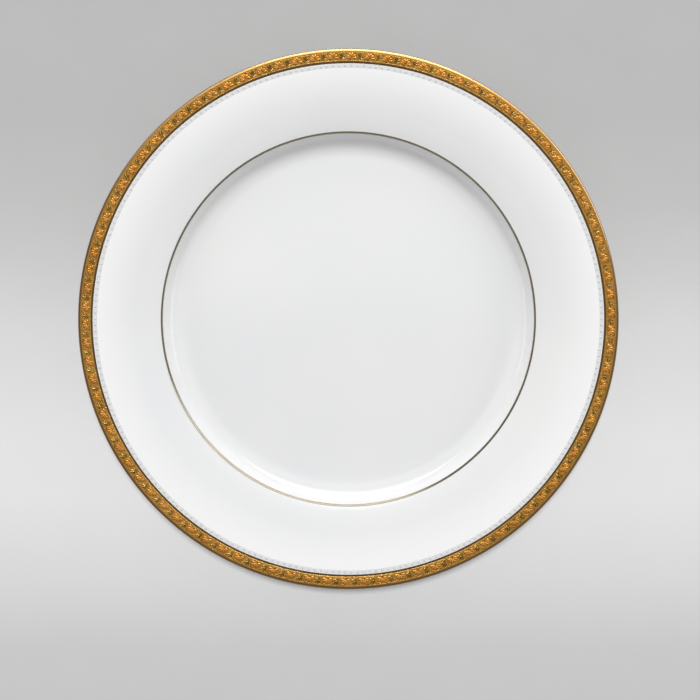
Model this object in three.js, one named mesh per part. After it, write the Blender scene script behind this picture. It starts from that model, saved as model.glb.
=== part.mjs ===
// A china dinner plate, lying face up on its foot ring.
// Millimetres, +Z up out of the well, origin at the centre of the foot ring's resting plane.
//
// The plate is one potted body under a coat of glaze, with fired gilding and enamel on top. One outline runs
// over the bare body: from the centre of the well, out over the rim, round the lip, back under the rim to the
// foot ring and in to the centre of the base. Every coat covers a stretch of that outline. All of them are
// turned with the same number of sides, so that each coat meets what it lies on face to face.

import * as THREE from 'three';

// Driving dimensions
const RIM_RADIUS = 133.5; // outermost gilding: a 267 mm (10.5 inch) plate
const WELL_HEIGHT = 6.0; // glazed floor of the well above the table
const WELL_RADIUS = 80.2; // where the flat floor ends
const VERGE_RADIUS = 92.7; // where the wall of the well breaks into the rim
const FOOT_INNER_RADIUS = 82.0; // where the foot ring's flat resting face begins
const RECESS_HEIGHT = 2.7; // bare base inside the foot ring, above the table
const LIP_ROUND = 1.1; // half the bare body's thickness at the lip

// Coats
const GLAZE = 0.25;
const GILDING = 0.12;
const RELIEF = 0.3; // the band, over the crowns of its raised pattern
const ENAMEL = 0.15;

// Decoration, by radius
const VERGE_LINE_HALF = 0.4;
const DOTS_INNER = 124.05;
const DOTS_OUTER = 125.9;
const BAND_LINE_INNER = 126.2;
const BAND_INNER = 127.15;
const BAND_OUTER = 131.6;

// Slopes of the outline, in degrees from level
const RIM_START_SLOPE = 18;
const RIM_MIDDLE_SLOPE = 10.5;
const RIM_END_SLOPE = 3;
const BACK_END_SLOPE = 5.5;
const BACK_MIDDLE_SLOPE = 12.5;
const BACK_WALL_SLOPE = 52;
const BACK_BASE_SLOPE = 12;
const FOOT_SLOPE = 75;

// Bends of the outline. The wall of the well curls up ever faster: each slope, with its bend and its facets.
const WALL_BENDS = [
  [10, 30, 2],
  [24, 9, 2],
  [62, 4.6, 3],
];
const BACK_SHOULDER_RADIUS = 98; // where the back of the rim turns down behind the wall
const BACK_SHOULDER_BEND = 6;
const BACK_WALL_END = 91.0;
const BACK_BASE_BEND = 8;
const FOOT_FILLET = 1.2;
const FOOT_ROUND = 0.5;
const GLAZE_EDGE_HEIGHT = 1.2; // the foot is wiped bare below this
const RIM_MIDDLE_RADIUS = 102;

const SIDES = 60;

const sine = (degrees) => Math.sin(THREE.MathUtils.degToRad(degrees));
const cosine = (degrees) => Math.cos(THREE.MathUtils.degToRad(degrees));

// The outline of the bare body. Each point has its radius, its height and the heading of the outline there,
// in degrees: 0 heads out, -90 down, -180 in. The outside of the body is on the left of the heading.
class Outline {
  constructor(radius, height) {
    this.points = [{ radius, height, heading: 0 }];
    this.marks = {};
  }

  get last() {
    return this.points[this.points.length - 1];
  }

  add(radius, height, heading) {
    this.points.push({ radius, height, heading });
  }

  mark(name) {
    this.marks[name] = this.points.length - 1;
  }

  // Straight on, to a radius.
  runTo(radius) {
    const { radius: r, height: z, heading } = this.last;
    this.add(radius, z + ((radius - r) * sine(heading)) / cosine(heading), heading);
  }

  // Straight on, to a height.
  dropTo(height) {
    const { radius: r, height: z, heading } = this.last;
    this.add(r + ((height - z) * cosine(heading)) / sine(heading), height, heading);
  }

  // Round a circle to a new heading.
  turn(heading, bend, steps) {
    const { radius: r, height: z, heading: start } = this.last;
    const signed = heading > start ? bend : -bend;
    for (let i = 1; i <= steps; i++) {
      const now = start + ((heading - start) * i) / steps;
      this.add(r + signed * (sine(now) - sine(start)), z - signed * (cosine(now) - cosine(start)), now);
    }
  }

  // Along one shallow circle that ends at a heading, with a point at each radius. It never turns round.
  sweep(heading, radii, names = {}) {
    const { radius: r, height: z, heading: start } = this.last;
    const bend = (radii[radii.length - 1] - r) / (sine(heading) - sine(start));
    for (const radius of radii) {
      const level = THREE.MathUtils.radToDeg(Math.asin(sine(start) + (radius - r) / bend));
      const now = cosine(start) > 0 ? level : -180 - level;
      this.add(radius, z - bend * (cosine(now) - cosine(start)), now);
      if (names[radius]) this.mark(names[radius]);
    }
  }
}

// The body's face, from the centre of the well to the outermost point of the lip.
function face(outline) {
  outline.runTo(WELL_RADIUS);
  for (const [slope, bend, steps] of WALL_BENDS) outline.turn(slope, bend, steps);
  outline.runTo(VERGE_RADIUS - VERGE_LINE_HALF);
  outline.mark('verge_start');
  outline.sweep(RIM_START_SLOPE, [VERGE_RADIUS, VERGE_RADIUS + VERGE_LINE_HALF]);
  outline.mark('verge_end');
  outline.sweep(RIM_MIDDLE_SLOPE, [97, RIM_MIDDLE_RADIUS]);
  const lipCentre = RIM_RADIUS - GILDING - GLAZE - LIP_ROUND;
  const lipStart = lipCentre - LIP_ROUND * sine(RIM_END_SLOPE);
  outline.sweep(
    RIM_END_SLOPE,
    [113, DOTS_INNER, DOTS_OUTER, BAND_LINE_INNER, BAND_INNER, BAND_OUTER, lipStart],
    {
      [DOTS_INNER]: 'dots_start',
      [DOTS_OUTER]: 'dots_end',
      [BAND_LINE_INNER]: 'line_start',
      [BAND_INNER]: 'band_start',
      [BAND_OUTER]: 'band_end',
    },
  );
  outline.turn(-90, LIP_ROUND, 3);
}

// From the lip, back under the rim and down behind the wall to the bare foot ring.
function back(outline) {
  outline.turn(BACK_END_SLOPE - 180, LIP_ROUND, 2);
  outline.mark('gilding_end');
  outline.sweep(BACK_MIDDLE_SLOPE - 180, [115, BACK_SHOULDER_RADIUS]);
  outline.turn(BACK_WALL_SLOPE - 180, BACK_SHOULDER_BEND, 2);
  outline.runTo(BACK_WALL_END);
  outline.turn(BACK_BASE_SLOPE - 180, BACK_BASE_BEND, 2);
  outline.turn(FOOT_SLOPE - 180, FOOT_FILLET, 2);
  outline.dropTo(GLAZE_EDGE_HEIGHT);
  outline.mark('glaze_end');
}

// The bare foot ring with its flat resting face, then the base inside it.
function foot(outline) {
  const roundStart = FOOT_ROUND * (1 - cosine(FOOT_SLOPE));
  outline.dropTo(roundStart);
  outline.turn(-180, FOOT_ROUND, 1);
  outline.runTo(FOOT_INNER_RADIUS);
  outline.turn(-180 - FOOT_SLOPE, FOOT_ROUND, 1);
  outline.dropTo(GLAZE_EDGE_HEIGHT);
  outline.mark('base_start');
  outline.dropTo(RECESS_HEIGHT - FOOT_FILLET * (1 - cosine(FOOT_SLOPE)));
  outline.turn(-180, FOOT_FILLET, 2);
  outline.runTo(0);
  outline.mark('base_end');
}

// A point of the outline, moved out by a distance.
function outset({ radius, height, heading }, distance) {
  return new THREE.Vector2(radius - distance * sine(heading), height + distance * cosine(heading));
}

function turned(name, profile, colour, roughness, metalness) {
  const geometry = new THREE.LatheGeometry(profile, SIDES);
  geometry.rotateX(Math.PI / 2);
  const material = new THREE.MeshStandardMaterial({ color: colour, roughness, metalness });
  const mesh = new THREE.Mesh(geometry, material);
  mesh.name = name;
  return mesh;
}

// A coat over one stretch of the outline, between two distances from the bare body.
function coat(name, outline, start, end, inside, outside, colour, roughness, metalness) {
  const stretch = outline.points.slice(outline.marks[start], outline.marks[end] + 1);
  const under = stretch.map((point) => outset(point, inside));
  const over = stretch.map((point) => outset(point, outside)).reverse();
  const profile = [...under, ...over];
  if (profile[0].x > 0) profile.push(profile[0].clone());
  return turned(name, profile, colour, roughness, metalness);
}

const outline = new Outline(0, WELL_HEIGHT - GLAZE);
outline.mark('centre');
face(outline);
back(outline);
foot(outline);

const PORCELAIN = 0xe9e6df;
const WHITE_GLAZE = 0xf4f4f2;
const GOLD = 0xb98236;
const DARK_LINE = 0x4e381c;
const DOT_GREY = 0xd0d4c8;

const body = turned(
  'porcelain_body',
  outline.points.map((point) => outset(point, 0)).reverse(),
  PORCELAIN,
  0.6,
  0,
);
const glazed = GLAZE + GILDING;

const plate = new THREE.Group();
plate.add(
  body,
  coat('outer_glaze', outline, 'centre', 'glaze_end', 0, GLAZE, WHITE_GLAZE, 0.08, 0),
  coat('base_glaze', outline, 'base_start', 'base_end', 0, GLAZE, WHITE_GLAZE, 0.1, 0),
  coat('gold_band', outline, 'band_start', 'band_end', GLAZE, GLAZE + RELIEF, GOLD, 0.35, 1),
  coat('lip_gilding', outline, 'band_end', 'gilding_end', GLAZE, glazed, GOLD, 0.2, 1),
  coat('band_inner_line', outline, 'line_start', 'band_start', GLAZE, glazed, DARK_LINE, 0.3, 0),
  coat('dot_border', outline, 'dots_start', 'dots_end', GLAZE, GLAZE + ENAMEL, DOT_GREY, 0.25, 0),
  coat('verge_line', outline, 'verge_start', 'verge_end', GLAZE, glazed, GOLD, 0.2, 1),
);

export default plate;
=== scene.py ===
"""Looks of a gilded china dinner plate, in metres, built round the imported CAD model.

The plate lies face up on a pale floor and is seen straight from above, as the picture shows its face.
"""

import bisect
import math
import random

import bpy
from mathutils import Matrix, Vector


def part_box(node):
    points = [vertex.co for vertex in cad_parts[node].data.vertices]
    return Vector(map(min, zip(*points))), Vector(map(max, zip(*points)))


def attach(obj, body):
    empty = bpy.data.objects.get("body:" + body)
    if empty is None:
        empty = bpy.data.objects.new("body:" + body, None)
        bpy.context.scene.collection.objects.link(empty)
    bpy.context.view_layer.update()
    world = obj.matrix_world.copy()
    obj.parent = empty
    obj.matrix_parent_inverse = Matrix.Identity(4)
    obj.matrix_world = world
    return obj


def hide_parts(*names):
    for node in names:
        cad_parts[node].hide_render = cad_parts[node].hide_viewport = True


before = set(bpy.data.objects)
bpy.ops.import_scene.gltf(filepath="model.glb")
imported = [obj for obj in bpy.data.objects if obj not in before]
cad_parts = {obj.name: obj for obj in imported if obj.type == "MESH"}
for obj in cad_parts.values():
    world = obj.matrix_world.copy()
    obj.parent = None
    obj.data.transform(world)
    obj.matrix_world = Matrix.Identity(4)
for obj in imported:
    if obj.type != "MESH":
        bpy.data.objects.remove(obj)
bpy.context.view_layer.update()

MM = 0.001

# ----------------------------------------------------------------------------
# Sizes in millimetres. The plate's radius is read from the CAD model, and its outline's others repeat it.


def node_radius(node):
    """Largest distance of a CAD node's vertices from the plate's axis, in millimetres."""
    return max(math.hypot(v.co.x, v.co.y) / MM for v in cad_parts[node].data.vertices)


GLAZE = 0.25
GILDING = 0.12
ENAMEL = 0.15
WASH = 0.03  # the pale enamel under the dots

RIM_RADIUS = node_radius("lip_gilding")
WELL_HEIGHT = 6.0
WELL_RADIUS = 80.2
VERGE_RADIUS = 92.7
VERGE_LINE_HALF = 0.4
FOOT_INNER_RADIUS = 82.0
RECESS_HEIGHT = 2.7
LIP_ROUND = 1.1

DOTS_INNER = 124.05
DOTS_OUTER = 125.9
BAND_LINE_INNER = 126.2
BAND_INNER = 127.15
BAND_OUTER = 131.6

RIM_START_SLOPE = 18
RIM_MIDDLE_SLOPE = 10.5
RIM_END_SLOPE = 3
BACK_END_SLOPE = 5.5
BACK_MIDDLE_SLOPE = 12.5
BACK_WALL_SLOPE = 52
BACK_BASE_SLOPE = 12
FOOT_SLOPE = 75

WALL_BENDS = ((10, 30), (24, 9), (62, 4.6))  # slope and bend: the wall curls up ever faster
BACK_SHOULDER_RADIUS = 98
BACK_SHOULDER_BEND = 6
BACK_WALL_END = 91.0
BACK_BASE_BEND = 8
FOOT_FILLET = 1.2
FOOT_ROUND = 0.5
GLAZE_EDGE_HEIGHT = 1.2
RIM_MIDDLE_RADIUS = 102

AROUND = 360  # sides of the turned body and glaze
FINE_AROUND = 720  # sides of the gold and enamel
COAT_EDGE = 0.08  # how far in from its end a coat is rounded off
TINY = 1e-6  # a length that counts as none

REPEATS = 90  # of the band's ornament
SUNK = 0.02  # how far a raised stroke or dot reaches below the coat that it stands on

DOTS = 258
DOT_HALF_WIDTH = 0.68  # along the rim
DOT_HALF_LENGTH = 0.88  # across it
DOT_SIDES = 14
DOT_RINGS = 4


# ----------------------------------------------------------------------------
# The outline of the bare body, as in the CAD model but exactly round.


def sine(degrees):
    return math.sin(math.radians(degrees))


def cosine(degrees):
    return math.cos(math.radians(degrees))


class Outline:
    """Straight and round stretches, in millimetres.

    Heading 0 is out, -90 down and -180 in. The outside of the body is on the left of the heading.
    """

    def __init__(self, radius, height):
        self.here = (radius, height, 0.0)
        self.length = 0.0
        self.stretches = []  # each one's start, first radius, height and heading, curvature and length
        self.marks = {}

    def stretch(self, length, curvature=0.0):
        self.stretches.append((self.length, *self.here, curvature, length))
        self.length += length
        self.here = self.at(self.length)

    def at(self, distance):
        """Radius, height and heading in degrees at a distance along the outline."""
        starts = [s[0] for s in self.stretches]
        start, radius, height, heading, curvature, length = self.stretches[
            max(0, bisect.bisect_right(starts, distance) - 1)
        ]
        along = min(distance - start, length)
        if curvature == 0.0:
            return radius + along * cosine(heading), height + along * sine(heading), heading
        now = heading + math.degrees(curvature * along)
        return (
            radius + (sine(now) - sine(heading)) / curvature,
            height - (cosine(now) - cosine(heading)) / curvature,
            now,
        )

    def mark(self, name):
        self.marks[name] = self.length

    def run_to(self, radius):
        self.stretch((radius - self.here[0]) / cosine(self.here[2]))

    def drop_to(self, height):
        self.stretch((height - self.here[1]) / sine(self.here[2]))

    def turn(self, heading, bend):
        angle = math.radians(heading - self.here[2])
        self.stretch(abs(angle) * bend, math.copysign(1 / bend, angle))

    def sweep(self, heading, radius, marks=()):
        """One shallow circle to a heading and a radius, with named radii marked on it."""
        start_radius, _, start = self.here
        bend = (radius - start_radius) / (sine(heading) - sine(start))
        for name, at_radius in marks:
            level = math.asin(sine(start) + (at_radius - start_radius) / bend)
            self.marks[name] = self.length + bend * (level - math.radians(start))
        if cosine(start) < 0:
            heading = -180 - math.degrees(math.asin(sine(heading)))
        self.stretch(bend * math.radians(heading - start), 1 / bend)

    def distances(self, start, end, degrees, longest):
        """Distances from start to end, at most so many degrees and millimetres apart, and at each join."""
        steps = [start]
        for begin, _, _, _, curvature, length in self.stretches:
            low, high = max(start, begin), min(end, begin + length)
            if high - low < TINY:
                continue
            turned = math.degrees(abs(curvature) * (high - low))
            count = max(1, math.ceil(turned / degrees), math.ceil((high - low) / longest))
            steps += [low + (high - low) * i / count for i in range(1, count + 1)]
        return steps

    def outset(self, distance, out):
        """The point at a distance along, moved out by so many millimetres: (radius, height)."""
        radius, height, heading = self.at(distance)
        return radius - out * sine(heading), height + out * cosine(heading)


def plate_outline():
    line = Outline(0.0, WELL_HEIGHT - GLAZE)
    line.mark("centre")
    line.run_to(WELL_RADIUS)
    for slope, bend in WALL_BENDS:
        line.turn(slope, bend)
    line.run_to(VERGE_RADIUS - VERGE_LINE_HALF)
    line.mark("verge_start")
    line.sweep(RIM_START_SLOPE, VERGE_RADIUS + VERGE_LINE_HALF)
    line.mark("verge_end")
    line.sweep(RIM_MIDDLE_SLOPE, RIM_MIDDLE_RADIUS)
    lip_centre = RIM_RADIUS - GILDING - GLAZE - LIP_ROUND
    line.sweep(
        RIM_END_SLOPE,
        lip_centre - LIP_ROUND * sine(RIM_END_SLOPE),
        [
            ("dots_start", DOTS_INNER),
            ("dots_end", DOTS_OUTER),
            ("line_start", BAND_LINE_INNER),
            ("band_start", BAND_INNER),
            ("band_end", BAND_OUTER),
        ],
    )
    line.turn(BACK_END_SLOPE - 180, LIP_ROUND)
    line.mark("gilding_end")
    line.sweep(BACK_MIDDLE_SLOPE - 180, BACK_SHOULDER_RADIUS)
    line.turn(BACK_WALL_SLOPE - 180, BACK_SHOULDER_BEND)
    line.run_to(BACK_WALL_END)
    line.turn(BACK_BASE_SLOPE - 180, BACK_BASE_BEND)
    line.turn(FOOT_SLOPE - 180, FOOT_FILLET)
    line.drop_to(GLAZE_EDGE_HEIGHT)
    line.mark("glaze_end")
    line.drop_to(FOOT_ROUND * (1 - cosine(FOOT_SLOPE)))
    line.turn(-180, FOOT_ROUND)
    line.run_to(FOOT_INNER_RADIUS)
    line.turn(-180 - FOOT_SLOPE, FOOT_ROUND)
    line.drop_to(GLAZE_EDGE_HEIGHT)
    line.mark("base_start")
    line.drop_to(RECESS_HEIGHT - FOOT_FILLET * (1 - cosine(FOOT_SLOPE)))
    line.turn(-180, FOOT_FILLET)
    line.run_to(0.0)
    line.mark("base_end")
    return line


outline = plate_outline()


# ----------------------------------------------------------------------------
# Meshes


pieces = []


def new_piece(name, verts, faces, material, slot, node):
    mesh = bpy.data.meshes.new(name)
    mesh.from_pydata(verts, [], faces)
    mesh.validate()
    for polygon in mesh.polygons:
        polygon.use_smooth = True
    mesh.materials.append(material)
    piece = bpy.data.objects.new(name, mesh)
    bpy.context.scene.collection.objects.link(piece)
    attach(piece, "root")
    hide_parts(node)
    pieces.append(piece)


def around_axis(radius, height, angle):
    """A point in metres, from millimetres and an angle clockwise from +Y."""
    return radius * MM * math.sin(angle), radius * MM * math.cos(angle), height * MM


def lathe(profile, around):
    """Vertices in metres, and faces, of a profile turned about Z with its outside on the left."""
    verts, rings = [], []
    for radius, height in profile:
        if radius < TINY:
            rings.append([len(verts)] * around)
            verts.append((0.0, 0.0, height * MM))
            continue
        rings.append(range(len(verts), len(verts) + around))
        for i in range(around):
            angle = math.tau * i / around
            verts.append((radius * MM * math.cos(angle), radius * MM * math.sin(angle), height * MM))
    starts_on_axis = profile[0][0] < TINY
    faces = []
    for k in range(len(rings) - 1 if starts_on_axis else len(rings)):
        one, two = rings[k], rings[(k + 1) % len(rings)]
        for i in range(around):
            j = (i + 1) % around
            corners = dict.fromkeys((one[i], two[i], two[j], one[j]))
            faces.append(tuple(corners))
    return verts, faces


FACET_DEGREES = 4.0
EDGE_ROUNDING = ((0.0, 0.45), (0.12, 0.8), (0.45, 0.96), (1.0, 1.0))  # shares of the edge and the thickness


def coat_profile(start, end, inside, outside, longest=4.0):
    """A coat's closed outline over one stretch, with its free edges rounded off."""
    first, last = outline.marks[start], outline.marks[end]
    from_axis = outline.at(first)[0] < TINY
    to_axis = outline.at(last)[0] < TINY
    edge = [(COAT_EDGE * along, inside + (outside - inside) * up) for along, up in EDGE_ROUNDING]
    over = []
    for distance in outline.distances(first, last, FACET_DEGREES, longest):
        at_start = distance - first < COAT_EDGE and not from_axis
        at_end = last - distance < COAT_EDGE and not to_axis
        if not at_start and not at_end:
            over.append((distance, outside))
    if not from_axis:
        over = [(first + along, up) for along, up in edge] + over
    if not to_axis:
        over += [(last - along, up) for along, up in reversed(edge)]
    coarse = outline.distances(first, last, FACET_DEGREES * 2, longest * 4)
    under = [(distance, inside) for distance in reversed(coarse)]
    return [outline.outset(*point) for point in over + under]


# ----------------------------------------------------------------------------
# Materials


class Nodes:
    """A short way to build a node material."""

    def __init__(self, name):
        self.material = bpy.data.materials.new(name)
        self.material.use_nodes = True
        self.tree = self.material.node_tree
        self.shader = self.tree.nodes["Principled BSDF"]
        self.place = self.add("ShaderNodeTexCoord").outputs["Object"]

    def add(self, kind, **settings):
        node = self.tree.nodes.new(kind)
        for key, value in settings.items():
            setattr(node, key, value)
        return node

    def link(self, source, target):
        self.tree.links.new(source, target)

    def noise(self, scale, detail=3.0, roughness=0.5):
        node = self.add("ShaderNodeTexNoise")
        node.inputs["Scale"].default_value = scale
        node.inputs["Detail"].default_value = detail
        node.inputs["Roughness"].default_value = roughness
        self.link(self.place, node.inputs["Vector"])
        return node.outputs["Fac"]

    def ramp(self, source, *stops):
        """Colour stops (position, (r, g, b))."""
        node = self.add("ShaderNodeValToRGB")
        elements = node.color_ramp.elements
        while len(elements) < len(stops):
            elements.new(0.5)
        for element, (position, colour) in zip(elements, stops):
            element.position = position
            element.color = (*colour, 1.0)
        self.link(source, node.inputs["Fac"])
        return node.outputs["Color"]

    def spread(self, source, low, high, start=0.3, end=0.7):
        """Maps a noise's usual range to low..high."""
        node = self.add("ShaderNodeMapRange")
        node.inputs["From Min"].default_value = start
        node.inputs["From Max"].default_value = end
        node.inputs["To Min"].default_value = low
        node.inputs["To Max"].default_value = high
        self.link(source, node.inputs["Value"])
        return node.outputs["Result"]

    def radius(self):
        """Distance from the plate's axis, in metres."""
        level = self.add("ShaderNodeVectorMath", operation="MULTIPLY")
        level.inputs[1].default_value = (1.0, 1.0, 0.0)
        self.link(self.place, level.inputs[0])
        node = self.add("ShaderNodeVectorMath", operation="LENGTH")
        self.link(level.outputs["Vector"], node.inputs[0])
        return node.outputs["Value"]

    def blend(self, share, under, colour):
        """From a colour socket to a plain colour."""
        node = self.add("ShaderNodeMix", data_type="RGBA")
        self.link(share, node.inputs["Factor"])
        self.link(under, node.inputs[6])
        node.inputs[7].default_value = (*colour, 1.0)
        return node.outputs[2]

    def bump(self, source, depth, under=None):
        node = self.add("ShaderNodeBump")
        node.inputs["Strength"].default_value = 1.0
        node.inputs["Distance"].default_value = depth
        self.link(source, node.inputs["Height"])
        if under is not None:
            self.link(under, node.inputs["Normal"])
        return node.outputs["Normal"]

    def set(self, **values):
        for key, value in values.items():
            self.shader.inputs[key.replace("_", " ")].default_value = value

    def feed(self, **sources):
        for key, source in sources.items():
            self.link(source, self.shader.inputs[key.replace("_", " ")])


# Where a material changes, from and to, in metres from the plate's axis.
# painted light: the glaze's colour is made whiter between these radii, towards the lip
GLAZE_PAINTED_LIGHT = (0.106, 0.123)
# painted shade: the lip's gold is darkened to brown between these radii
LIP_PAINTED_SHADE = (0.1321, 0.1328)
# painted light: the floor's painted pool of light fades to an even tone between these radii
FLOOR_PAINTED_LIGHT_FADES = (0.25, 0.8)


def glaze_material():
    """White glaze, faintly clouded, with painted light that makes it whiter towards the lip."""
    n = Nodes("white_glaze")
    cloud = n.ramp(n.noise(14.0, 2.0), (0.3, (0.825, 0.83, 0.84)), (0.7, (0.855, 0.855, 0.85)))
    n.feed(
        # painted light: the glaze is painted whiter towards the lip
        Base_Color=n.blend(n.spread(n.radius(), 0.0, 1.0, *GLAZE_PAINTED_LIGHT), cloud, (0.935, 0.935, 0.935)),
        Roughness=n.spread(n.noise(90.0), 0.06, 0.11),
        Normal=n.bump(n.noise(260.0, 2.0), 0.000004, n.bump(n.noise(38.0, 1.0), 0.00003)),
    )
    n.set(IOR=1.5)
    return n.material


def bisque_material():
    """Bare fired china, warm and matt."""
    n = Nodes("bisque")
    grain = n.noise(2600.0, 4.0, 0.65)
    n.feed(
        Base_Color=n.ramp(n.noise(220.0, 4.0), (0.3, (0.71, 0.67, 0.6)), (0.7, (0.8, 0.77, 0.71))),
        Roughness=n.spread(grain, 0.62, 0.8),
        Normal=n.bump(grain, 0.00002),
    )
    return n.material


def gold_material(name, dark, light, rough, grain_scale, grain_depth):
    n = Nodes(name)
    grain = n.noise(grain_scale, 3.0, 0.6)
    n.feed(
        Base_Color=n.ramp(n.noise(120.0, 4.0, 0.6), (0.32, dark), (0.68, light)),
        Roughness=n.spread(n.noise(grain_scale * 0.4), rough[0], rough[1]),
        Normal=n.bump(grain, grain_depth),
    )
    n.set(Metallic=1.0)
    return n.material


def lip_material():
    """Bright gold, painted darker brown over the edge of the lip as painted shade, under its polish."""
    n = Nodes("bright_gold")
    gold = n.ramp(n.noise(120.0, 4.0, 0.6), (0.32, (0.4, 0.205, 0.032)), (0.68, (0.48, 0.255, 0.046)))
    n.feed(
        # painted shade: the lip's outer edge is painted dark brown
        Base_Color=n.blend(n.spread(n.radius(), 0.0, 1.0, *LIP_PAINTED_SHADE), gold, (0.225, 0.1, 0.005)),
        Roughness=n.spread(n.noise(360.0), 0.26, 0.34),
        Normal=n.bump(n.noise(900.0, 3.0, 0.6), 0.000006),
    )
    n.set(Metallic=1.0, Coat_Weight=1.0, Coat_Roughness=0.25)
    return n.material


def enamel_material(name, dark, light, rough, shine):
    n = Nodes(name)
    n.feed(
        Base_Color=n.ramp(n.noise(500.0, 3.0), (0.3, dark), (0.7, light)),
        Roughness=n.spread(n.noise(900.0), rough[0], rough[1]),
        Normal=n.bump(n.noise(1500.0), 0.000006),
    )
    n.set(Specular_IOR_Level=shine)
    return n.material


# Darker and lighter colour, least and most roughness, grain scale, and grain depth in metres.
GOLDS = {
    "band_ground": ((0.415, 0.203, 0.037), (0.535, 0.275, 0.062), (0.36, 0.46), 5200.0, 0.00003),
    "orange_gold": ((0.43, 0.19, 0.036), (0.53, 0.245, 0.052), (0.42, 0.52), 3600.0, 0.00001),
    "brown_gold": ((0.21, 0.103, 0.02), (0.33, 0.16, 0.031), (0.3, 0.4), 3600.0, 0.00001),
    "dark_gold": ((0.125, 0.057, 0.007), (0.225, 0.12, 0.017), (0.26, 0.38), 3600.0, 0.00001),
    # painted highlight: the paler gold of the light leaves and wavy line stands in for highlights
    "painted_highlight_gold": ((0.45, 0.31, 0.105), (0.56, 0.41, 0.155), (0.26, 0.36), 3600.0, 0.00001),
    "verge_gold": ((0.33, 0.29, 0.215), (0.4, 0.345, 0.25), (0.12, 0.18), 900.0, 0.000006),
}

# Darker and lighter colour, least and most roughness, and specular level.
ENAMELS = {
    "dark_enamel": ((0.085, 0.045, 0.012), (0.12, 0.065, 0.018), (0.3, 0.4), 0.2),
    "dot_enamel": ((0.64, 0.65, 0.64), (0.69, 0.7, 0.69), (0.18, 0.28), 0.5),
    "pale_enamel": ((0.745, 0.75, 0.745), (0.785, 0.79, 0.785), (0.15, 0.22), 0.5),
}


def make_materials():
    made = {"bisque": bisque_material(), "white_glaze": glaze_material(), "bright_gold": lip_material()}
    for name, look in GOLDS.items():
        made[name] = gold_material(name, *look)
    for name, look in ENAMELS.items():
        made[name] = enamel_material(name, *look)
    return made


materials = make_materials()


# ----------------------------------------------------------------------------
# Body, glaze, lines, lip and the ground under the dots

# Name, CAD node, and start and end on the outline.
GLAZES = (
    ("glaze_coat", "outer_glaze", "centre", "glaze_end"),
    ("glaze_base", "base_glaze", "base_start", "base_end"),
)

# What lies on the glaze. After the same four: thickness, material and slot.
TRIMS = (
    ("rim_gold", "lip_gilding", "band_end", "gilding_end", GILDING, "bright_gold", "bright_gold"),
    ("dark_line", "band_inner_line", "line_start", "band_start", GILDING, "dark_enamel", "dark_enamel"),
    ("well_line", "verge_line", "verge_start", "verge_end", GILDING, "verge_gold", "bright_gold"),
    ("dot_ground", "dot_border", "dots_start", "dots_end", WASH, "pale_enamel", "dot_enamel"),
)


def turned_pieces():
    body = [outline.outset(d, 0.0) for d in outline.distances(0.0, outline.length, 6.0, 4.0)]
    new_piece("china_body", *lathe(body, AROUND), materials["bisque"], "bisque", "porcelain_body")
    for name, node, start, end in GLAZES:
        profile = coat_profile(start, end, 0.0, GLAZE)
        new_piece(name, *lathe(profile, AROUND), materials["white_glaze"], "white_glaze", node)
    for name, node, start, end, thickness, material, slot in TRIMS:
        profile = coat_profile(start, end, GLAZE, GLAZE + thickness)
        new_piece(name, *lathe(profile, FINE_AROUND), materials[material], slot, node)


# ----------------------------------------------------------------------------
# The band's raised ornament: strokes in a flat frame, x along the rim and y out from the band's inner edge,
# in millimetres, wrapped on to the band's ground.


def smooth_path(points, steps):
    """A Catmull-Rom curve through points."""
    ends = [2 * Vector(points[0]) - Vector(points[1])] + [Vector(p) for p in points]
    ends.append(2 * ends[-1] - ends[-2])
    path = []
    for i in range(steps + 1):
        place = (len(points) - 1) * i / steps
        k = min(int(place), len(points) - 2)
        t = place - k
        a, b, c, d = ends[k : k + 4]
        square = 2 * a - 5 * b + 4 * c - d
        cube = 3 * b - a - 3 * c + d
        path.append(0.5 * (2 * b + (c - a) * t + square * t * t + cube * t ** 3))
    return path


def leaf_width(share):
    return math.sin(math.pi * min(1.0, share * 0.96 + 0.02) ** 0.75) ** 0.8


def drop_width(share):
    return math.sin(math.pi * min(1.0, share * 0.96 + 0.02) ** 1.6) ** 0.75


def stem_width(share):
    return min(1.0, 6 * share + 0.15, 4 * (1 - share) + 0.1)


ACROSS = (-1.0, -0.6, 0.0, 0.6, 1.0)  # places across a stroke, as shares of its half width


def stroke(points, width, height, shape, steps=8):
    """A raised stroke with a round back, as flat-frame vertices (x, y, up) and faces."""
    path = smooth_path(points, steps)
    verts, faces = [], []
    for i, middle in enumerate(path):
        share = i / steps
        ahead = path[min(i + 1, steps)] - path[max(i - 1, 0)]
        side = Vector((-ahead.y, ahead.x)).normalized() * (width / 2 * shape(share))
        crown = height * shape(share) ** 0.5
        for offset in ACROSS:
            place = middle + side * offset
            verts.append((place.x, place.y, crown * (1 - offset * offset)))
        verts.append((middle.x, middle.y, -SUNK))
    ring = len(ACROSS) + 1
    for i in range(steps):
        for k in range(ring):
            a, b = i * ring + k, i * ring + (k + 1) % ring
            faces.append((a, a + ring, b + ring, b))
    faces.append(tuple(range(ring)))
    faces.append(tuple(reversed(range(steps * ring, (steps + 1) * ring))))
    return verts, faces


PITCH_RADIUS = (BAND_INNER + BAND_OUTER) / 2
PITCH = math.tau * PITCH_RADIUS / REPEATS


def petals(centre, reach, width, height, angles, base=0.15):
    """Strokes that radiate from a centre."""
    made = []
    for angle in angles:
        way = Vector((cosine(angle), sine(angle)))
        root = Vector(centre) + way * base
        spine = [root, root + way * reach * 0.5, root + way * reach]
        made.append(stroke(spine, width, height, drop_width, 6))
    return made


FLOWER = Vector((-3.65, 1.75))
FLOWER_CLEAR = 0.7  # how far from its middle the leaves spring


def fan(leaves, width, height):
    """Leaves that spring from the flower, each with its angle and length."""
    made = []
    for angle, reach in leaves:
        way = Vector((cosine(angle), sine(angle)))
        bow = Vector((-way.y, way.x)) * 0.12
        root = FLOWER + way * FLOWER_CLEAR
        spine = [root, root + way * reach * 0.5 + bow, root + way * reach]
        made.append(stroke(spine, width, height, leaf_width))
    return made


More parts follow.
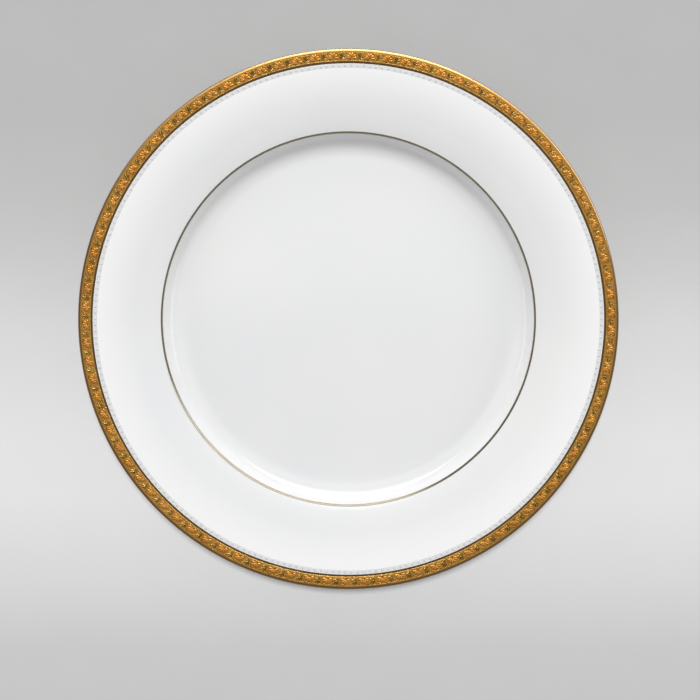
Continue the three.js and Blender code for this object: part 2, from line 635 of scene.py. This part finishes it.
def blossom():
    """The dark spray: a five-petalled flower and a fan of leaves."""
    flower = petals(FLOWER, 0.8, 0.62, 0.13, [18 + 72 * i for i in range(5)])
    aside = Vector((0.24, 0))
    button = stroke([FLOWER - aside, FLOWER, FLOWER + aside], 0.46, 0.17, leaf_width, 6)
    return [*flower, button, *fan(((98, 1.7), (72, 2.2), (46, 2.3), (18, 1.7)), 0.56, 0.11)]


def painted_highlights():
    """The light leaves beside the spray, and the thin wavy line along the band's inner edge: raised strokes
    whose paler gold is a painted highlight.
    """
    wave = [(-PITCH / 2 + PITCH * i / 12, 0.34 + 0.09 * sine(60 * i)) for i in range(13)]
    return [
        stroke(wave, 0.18, 0.05, lambda share: 1.0, 24),
        *fan(((-12, 1.5), (32, 2.1), (59, 2.4), (-44, 1.0)), 0.3, 0.13),
    ]


def palmette():
    """The bright lobed fan."""
    return petals((1.5, 1.55), 2.4, 1.3, 0.12, (4, 41, 77, 113, 149, 176), 0.2)


def scrolls():
    """The dark scroll over the fan, and the small leaves and buds round it."""
    return [
        stroke([(3.95, 2.3), (4.0, 3.2), (3.5, 4.0), (2.7, 4.25), (2.2, 3.9)], 0.6, 0.13, drop_width, 12),
        stroke([(-1.35, 3.6), (-0.75, 4.15), (0.05, 4.35)], 0.5, 0.12, leaf_width),
        stroke([(0.45, 0.75), (0.85, 1.1), (1.15, 1.85)], 0.85, 0.14, leaf_width),
        stroke([(0.6, 0.85), (-0.35, 0.7), (-1.2, 0.95), (-1.75, 1.4)], 0.24, 0.09, stem_width, 8),
        stroke([(3.5, 0.95), (3.8, 1.25), (3.9, 1.7)], 0.5, 0.13, leaf_width, 6),
    ]


def wrap(parts, jitter):
    """Wraps flat-frame parts on to the rim at each repeat, each repeat a little higher or lower."""
    verts, faces = [], []
    begin = outline.marks["band_start"]
    for repeat in range(REPEATS):
        centre = math.tau * repeat / REPEATS
        swell = 1.0 + jitter.uniform(-0.06, 0.06)
        for part_verts, part_faces in parts:
            first = len(verts)
            for x, y, up in part_verts:
                radius, height = outline.outset(begin + y, GLAZE + GILDING + up * swell)
                verts.append(around_axis(radius, height, centre + x / PITCH_RADIUS))
            faces += [tuple(first + i for i in face) for face in part_faces]
    return verts, faces


BAND_RELIEF = {
    "band_blossoms": (blossom, "dark_gold"),
    "band_palmettes": (palmette, "orange_gold"),
    "band_scrolls": (scrolls, "brown_gold"),
    # raised strokes whose paler gold is a painted highlight
    "band_painted_highlights": (painted_highlights, "painted_highlight_gold"),
}


def band_pieces():
    ground = lathe(coat_profile("band_start", "band_end", GLAZE, GLAZE + GILDING, longest=0.5), FINE_AROUND)
    new_piece("band_ground", *ground, materials["band_ground"], "relief_gold", "gold_band")
    jitter = random.Random(7)
    for name, (make_parts, material) in BAND_RELIEF.items():
        new_piece(name, *wrap(make_parts(), jitter), materials[material], "relief_gold", "gold_band")


# ----------------------------------------------------------------------------
# The border of enamel dots


def dot_faces(first):
    """Faces of one dot, from its first vertex, the crown: the rings round it and its flat bottom."""
    faces = []
    for side in range(DOT_SIDES):
        other = (side + 1) % DOT_SIDES
        faces.append((first, first + 1 + other, first + 1 + side))
        for ring in range(DOT_RINGS - 1):
            a = first + 1 + ring * DOT_SIDES
            b = a + DOT_SIDES
            faces.append((a + side, a + other, b + other, b + side))
    last = first + 1 + (DOT_RINGS - 1) * DOT_SIDES
    faces.append(tuple(last + side for side in range(DOT_SIDES)))
    return faces


def dot_pieces():
    """Low domes on the glaze. The outermost ring of each is sunk into it."""
    verts, faces = [], []
    middle = (outline.marks["dots_start"] + outline.marks["dots_end"]) / 2
    radius_at_middle = outline.at(middle)[0]
    for dot in range(DOTS):
        centre = math.tau * (dot + 0.5) / DOTS
        faces += dot_faces(len(verts))
        for ring in range(DOT_RINGS + 1):
            share = ring / DOT_RINGS
            up = ENAMEL * math.cos(share * math.pi / 2) ** 0.8 if ring < DOT_RINGS else -SUNK
            for side in range(1 if ring == 0 else DOT_SIDES):
                way = math.tau * side / DOT_SIDES
                x = DOT_HALF_WIDTH * share * math.cos(way)
                y = DOT_HALF_LENGTH * share * math.sin(way)
                radius, height = outline.outset(middle + y, GLAZE + up)
                verts.append(around_axis(radius, height, centre + x / radius_at_middle))
    new_piece("enamel_dots", verts, faces, materials["dot_enamel"], "dot_enamel", "dot_border")


turned_pieces()
band_pieces()
dot_pieces()


# ----------------------------------------------------------------------------
# Floor, light and camera

FLOOR_RADIUS = 5.0
FLOOR_SIDES = 96
FLOOR_DROP = 0.00005  # the foot stands on the floor without sharing its plane


def floor_material():
    """A painted pool of light behind the lower half of the plate in the picture, painted darker above and
    below, and even far off.
    """
    n = Nodes("pale_floor")
    split = n.add("ShaderNodeSeparateXYZ")
    n.link(n.place, split.inputs["Vector"])
    # painted light: the floor's colour changes along Y, lighter behind the lower half of the plate
    painted_light = n.ramp(
        n.spread(split.outputs["Y"], 0.0, 1.0, -0.5, 0.5),
        (0.31, (0.44, 0.44, 0.44)),
        (0.335, (0.455, 0.455, 0.455)),
        (0.37, (0.54, 0.54, 0.54)),
        (0.41, (0.61, 0.61, 0.61)),
        (0.44, (0.61, 0.61, 0.61)),
        (0.495, (0.545, 0.545, 0.545)),
        (0.53, (0.47, 0.47, 0.47)),
        (0.56, (0.42, 0.42, 0.42)),
        (0.6, (0.39, 0.39, 0.39)),
    )
    n.feed(
        Base_Color=n.blend(n.spread(n.radius(), 0.0, 1.0, *FLOOR_PAINTED_LIGHT_FADES), painted_light, (0.42, 0.42, 0.42)),
        Roughness=n.spread(n.noise(40.0), 0.7, 0.78),
    )
    return n.material


def collect(name, objects):
    """A collection that a light can be linked to. It isn't in the scene."""
    collection = bpy.data.collections.new(name)
    for item in objects:
        collection.objects.link(item)
    return collection


def make_floor():
    verts = [(0.0, 0.0, -FLOOR_DROP)]
    faces = []
    for i in range(FLOOR_SIDES):
        angle = math.tau * i / FLOOR_SIDES
        verts.append((FLOOR_RADIUS * math.cos(angle), FLOOR_RADIUS * math.sin(angle), -FLOOR_DROP))
        faces.append((0, 1 + i, 1 + (i + 1) % FLOOR_SIDES))
    mesh = bpy.data.meshes.new("floor")
    mesh.from_pydata(verts, [], faces)
    mesh.materials.append(floor_material())
    floor = bpy.data.objects.new("floor", mesh)
    bpy.context.scene.collection.objects.link(floor)
    return floor


def direction(azimuth, elevation):
    """The unit vector from the plate, with azimuth 0 at +Y and 90 at +X."""
    return Vector((sine(azimuth) * cosine(elevation), cosine(azimuth) * cosine(elevation), sine(elevation)))


def softbox(name, azimuth, elevation, distance, width, height, watts, lit):
    """A soft area light that lights one collection, aimed at the plate."""
    light = bpy.data.lights.new(name, "AREA")
    light.shape = "RECTANGLE"
    light.size = width
    light.size_y = height
    light.energy = watts
    lamp = bpy.data.objects.new(name, light)
    way = direction(azimuth, elevation)
    lamp.location = way * distance
    lamp.rotation_euler = way.to_track_quat("Z", "Y").to_euler()
    lamp.visible_camera = False
    lamp.light_linking.receiver_collection = lit
    bpy.context.scene.collection.objects.link(lamp)


def light_floor(lit):
    """A broad sun for the floor alone, so that it is evenly lit however far away."""
    light = bpy.data.lights.new("floor_light", "SUN")
    light.energy = SUN_STRENGTH
    light.angle = math.radians(SUN_ANGLE)
    lamp = bpy.data.objects.new("floor_light", light)
    lamp.rotation_euler = direction(0.0, SUN_ELEVATION).to_track_quat("Z", "Y").to_euler()
    lamp.light_linking.receiver_collection = lit
    bpy.context.scene.collection.objects.link(lamp)


# Name, azimuth, elevation, distance, width, height and watts. +Y is the picture's top.
PLATE_LIGHTS = [
    ("key", 0, 44, 2.0, 1.6, 0.5, 14.9),
    ("high_key", 0, 55, 2.0, 1.6, 0.6, 8.6),
    ("overhead", 0, 70.7, 2.12, 2.0, 1.4, 3.0),
    ("strip", 0, 85, 2.1, 1.0, 0.36, 0.45),
]
GLAZE_LIGHTS = [
    ("low_key", 0, 14, 2.0, 1.6, 0.5, 7.0),
    ("left", -90, 20, 2.0, 1.2, 0.6, 5.5),
    ("right", 90, 20, 2.0, 1.2, 0.6, 8.3),
]
RIM_LIGHTS = [
    ("low_top", 3, 12, 2.0, 1.6, 0.8, 85.0),
    ("low_right", 48, 14, 2.0, 1.8, 0.9, 42.0),
    ("low_left", -38, 14, 2.0, 1.4, 0.9, 9.0),
]
LINE_LIGHTS = [("line_light", 22, 27, 2.0, 3.4, 2.0, 38.0)]
SUN_ELEVATION = 81  # over the floor, from +Y
SUN_ANGLE = 14
SUN_STRENGTH = 2.8
WORLD = 0.36


def make_lights(floor):
    for name, lights, names in (
        ("plate", PLATE_LIGHTS, [piece.name for piece in pieces if piece.name != "well_line"]),
        ("glaze", GLAZE_LIGHTS, ["glaze_coat", "glaze_base", "dot_ground", "enamel_dots"]),
        ("rim", RIM_LIGHTS, ["rim_gold", "band_ground", *BAND_RELIEF]),
        ("line", LINE_LIGHTS, ["well_line"]),
    ):
        receivers = collect(name, [piece for piece in pieces if piece.name in names])
        for light in lights:
            softbox(*light, receivers)
    light_floor(collect("floor", [floor]))
    world = bpy.data.worlds.new("studio")
    world.use_nodes = True
    background = world.node_tree.nodes["Background"]
    background.inputs["Color"].default_value = (1.0, 1.0, 1.0, 1.0)
    background.inputs["Strength"].default_value = WORLD
    bpy.context.scene.world = world


# Straight down on to the face, with +Y at the top of the picture and the plate a little above its middle.
LENS = 120.0
SENSOR = 36.0
VIEW_WIDTH = 0.34523  # of the plane through the rim
SHIFT_X = 0.0023
SHIFT_Y = -0.0444


def make_camera():
    data = bpy.data.cameras.new("camera")
    data.lens = LENS
    data.sensor_width = SENSOR
    data.shift_x = SHIFT_X
    data.shift_y = SHIFT_Y
    data.clip_end = 20.0
    camera = bpy.data.objects.new("camera", data)
    rim_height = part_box("lip_gilding")[1][2]
    camera.location = (0.0, 0.0, rim_height + VIEW_WIDTH * LENS / SENSOR)
    bpy.context.scene.collection.objects.link(camera)
    bpy.context.scene.camera = camera


make_lights(make_floor())
make_camera()
bpy.context.scene.view_settings.view_transform = "Standard"
